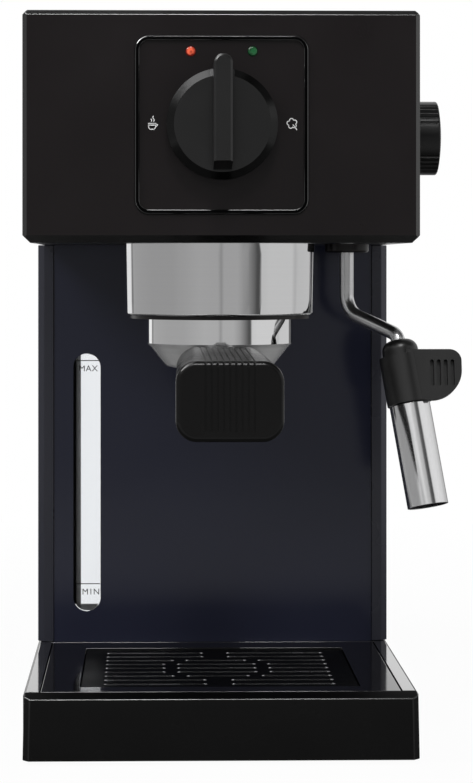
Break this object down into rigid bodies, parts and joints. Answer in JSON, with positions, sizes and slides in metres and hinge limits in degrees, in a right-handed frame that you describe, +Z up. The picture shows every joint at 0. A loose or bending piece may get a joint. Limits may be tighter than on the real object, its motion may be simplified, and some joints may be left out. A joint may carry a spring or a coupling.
{
  "type": "espresso machine",
  "caption": "Slim black pump espresso machine with a polished brew group, portafilter, steam wand, slotted drip tray and a clear rear water tank.",
  "frame": {"origin": "centre of the base's footprint, in the plane the four feet stand on", "axes": "+Z up, the control panel faces -Y, +X to the right of someone facing the machine"},
  "size_m": [0.1825, 0.36, 0.3068],
  "materials": {
    "satin_black": "satin",
    "gloss_black": "gloss",
    "navy_gloss": "gloss",
    "tower_black": "satin",
    "black_plastic": "satin",
    "polished_steel": "polished",
    "plain_steel": "plain",
    "cast_aluminium": "cast",
    "brass": "machined",
    "black_rubber": "matte",
    "clear_plastic": "clear",
    "red_lens": "gloss",
    "green_lens": "gloss",
    "board_green": "matte",
    "coil_blue": "matte",
    "silicone": "matte"
  },
  "bodies": {
    "machine": {"head_housing": "satin_black", "head_top_cover": "satin_black", "control_panel": "satin_black", "base_pan": "satin_black", "tower_front_panel": "navy_gloss", "tower_left": "tower_black", "tower_right": "tower_black", "tower_back": "tower_black", "wand_collar": "black_plastic", "base_plate": "black_plastic", "cord_gland": "black_plastic", "sight_duct": "black_plastic", "tank_socket": "black_plastic", "selector_switch": "black_plastic", "group_cover": "polished_steel", "casing_screws": "plain_steel", "shower_screen": "plain_steel", "shower_screw": "plain_steel", "boiler_bolts": "plain_steel", "heating_element": "plain_steel", "pump_bracket": "plain_steel", "steam_pipe": "plain_steel", "group_head": "cast_aluminium", "boiler_lower": "cast_aluminium", "boiler_upper": "cast_aluminium", "steam_valve_body": "brass", "pump_barrel": "brass", "rubber_feet": "black_rubber", "group_gasket": "black_rubber", "boiler_seal": "black_rubber", "pump_mounts": "black_rubber", "level_window": "clear_plastic", "red_lamp": "red_lens", "green_lamp": "green_lens", "lamp_board": "board_green", "pump_coil": "coil_blue", "thermostats": "coil_blue", "suction_hose": "silicone", "pressure_hose": "silicone"},
    "selector": {"selector_knob": "black_plastic", "selector_shaft": "plain_steel"},
    "steam_control": {"steam_knob": "black_plastic", "steam_spindle": "plain_steel"},
    "wand": {"wand_tube": "polished_steel", "wand_grip": "black_plastic", "wand_nozzle": "black_plastic"},
    "sleeve": {"froth_sleeve": "polished_steel"},
    "portafilter": {"portafilter_bowl": "polished_steel", "basket_clip": "plain_steel", "filter_basket": "plain_steel", "spout": "black_plastic", "portafilter_handle": "black_plastic", "handle_stud": "plain_steel"},
    "tray": {"tray_front": "satin_black", "drip_tray": "gloss_black"},
    "grille": {"drip_grille": "gloss_black"},
    "tank": {"water_tank": "clear_plastic", "lid_pin": "plain_steel", "tank_valve": "black_plastic"},
    "lid": {"tank_lid": "black_plastic"}
  },
  "joints": [
    {"name": "selector_turn", "type": "hinge", "parent": "machine", "child": "selector", "pos_m": [0, -0.1425, 0.26], "axis": [0, 1, 0], "range_deg": [-90, 90]},
    {"name": "steam_turn", "type": "hinge", "parent": "machine", "child": "steam_control", "pos_m": [0.081, -0.0775, 0.2581], "axis": [1, 0, 0], "range_deg": [0, 270]},
    {"name": "wand_swing", "type": "hinge", "parent": "machine", "child": "wand", "pos_m": [0.0565, -0.0775, 0.2121], "axis": [0, 0, 1], "range_deg": [-55, 70]},
    {"name": "sleeve_pull", "type": "slide", "parent": "wand", "child": "sleeve", "axis": [0.1523, -0.2135, -0.965], "range_m": [0, 0.045]},
    {"name": "portafilter_turn", "type": "hinge", "parent": "machine", "child": "portafilter", "pos_m": [0.0008, -0.0875, 0.19], "axis": [0, 0, 1], "range_deg": [-45, 0]},
    {"name": "tray_slide", "type": "slide", "parent": "machine", "child": "tray", "axis": [0, -1, 0], "range_m": [0, 0.11]},
    {"name": "grille_lift", "type": "slide", "parent": "tray", "child": "grille", "axis": [0, 0, 1], "range_m": [0, 0.025]},
    {"name": "tank_lift", "type": "slide", "parent": "machine", "child": "tank", "axis": [0, 0, 1], "range_m": [0, 0.16]},
    {"name": "lid_open", "type": "hinge", "parent": "tank", "child": "lid", "pos_m": [0, 0.0685, 0.1927], "axis": [1, 0, 0], "range_deg": [0, 85]}
  ]
}
